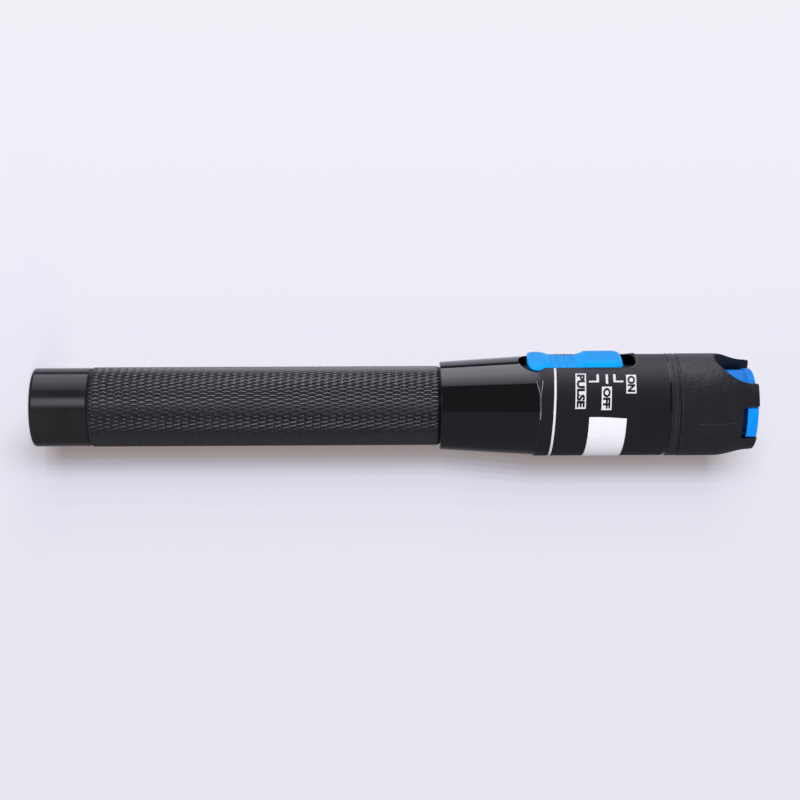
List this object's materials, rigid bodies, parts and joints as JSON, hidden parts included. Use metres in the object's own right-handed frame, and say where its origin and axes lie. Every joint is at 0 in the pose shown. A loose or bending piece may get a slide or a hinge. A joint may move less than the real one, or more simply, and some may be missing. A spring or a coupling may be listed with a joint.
{
  "type": "visual fault locator pen",
  "caption": "Pen-shaped visible laser source with a knurled battery tube, a slide switch, and a ferrule adapter under a dust cap in a slotted head guard.",
  "frame": {"origin": "centre of the flat outer face of the tail cap, on which the pen stands", "axes": "+Z along the pen to the laser end, -Y towards the slide switch"},
  "size_m": [0.026, 0.0269, 0.182],
  "materials": {
    "gloss_black": "gloss",
    "knurled_black": "satin",
    "film_black": "matte",
    "sticker_white": "matte",
    "moulded_blue": "satin",
    "guard_black": "matte",
    "inner_black": "matte",
    "board_green": "satin",
    "component_black": "matte",
    "capacitor_sleeve": "satin",
    "trimmer_body": "satin",
    "resistor_ceramic": "satin",
    "contact_brass": "satin",
    "contact_steel": "satin",
    "spring_steel": "satin",
    "cell_jacket": "gloss",
    "laser_brass": "satin",
    "diode_gold": "polished",
    "lens_glass": "polished",
    "adapter_nickel": "satin",
    "sleeve_zirconia": "polished"
  },
  "bodies": {
    "pen": {"battery_tube": "knurled_black", "rear_cell": "cell_jacket", "front_cell": "cell_jacket", "contact_holder": "inner_black", "front_contact": "contact_brass", "ground_contact": "contact_steel", "barrel": "gloss_black", "label_wrap": "film_black", "rating_sticker": "sticker_white", "chassis": "inner_black", "circuit_board": "board_green", "slide_switch_case": "contact_steel", "driver_chip": "component_black", "filter_capacitor": "capacitor_sleeve", "trim_potentiometer": "trimmer_body", "driver_transistor": "component_black", "chip_resistors": "resistor_ceramic", "laser_barrel": "laser_brass", "laser_diode": "diode_gold", "collimator_lens": "lens_glass", "lens_ring": "laser_brass", "adapter_body": "adapter_nickel", "ferrule_stop": "contact_steel", "ferrule_sleeve": "sleeve_zirconia", "head_guard": "guard_black"},
    "tail_spring": {"tail_spring": "spring_steel"},
    "tail_cap": {"tail_cap": "gloss_black"},
    "switch": {"switch_knob": "moulded_blue", "slide_switch_lever": "inner_black"},
    "dust_cap": {"dust_cap": "moulded_blue"}
  },
  "joints": [
    {"name": "switch_slide", "type": "slide", "parent": "pen", "child": "switch", "axis": [0, 0, 1], "range_m": [-0.002, 0.002]},
    {"name": "dust_cap_pull", "type": "slide", "parent": "pen", "child": "dust_cap", "axis": [0, 0, 1], "range_m": [0, 0.02]},
    {"name": "tail_cap_lead", "type": "slide", "parent": "pen", "child": "tail_spring", "axis": [0, 0, -1], "range_m": [0, 0.006]},
    {"name": "tail_cap_turn", "type": "hinge", "parent": "tail_spring", "child": "tail_cap", "pos_m": [0, 0, 0], "axis": [0, 0, -1], "range_deg": [0, 2160]}
  ],
  "couplings": [
    {"joint": "tail_cap_lead", "follows": "tail_cap_turn", "m_per_rad": 0.00015915}
  ]
}
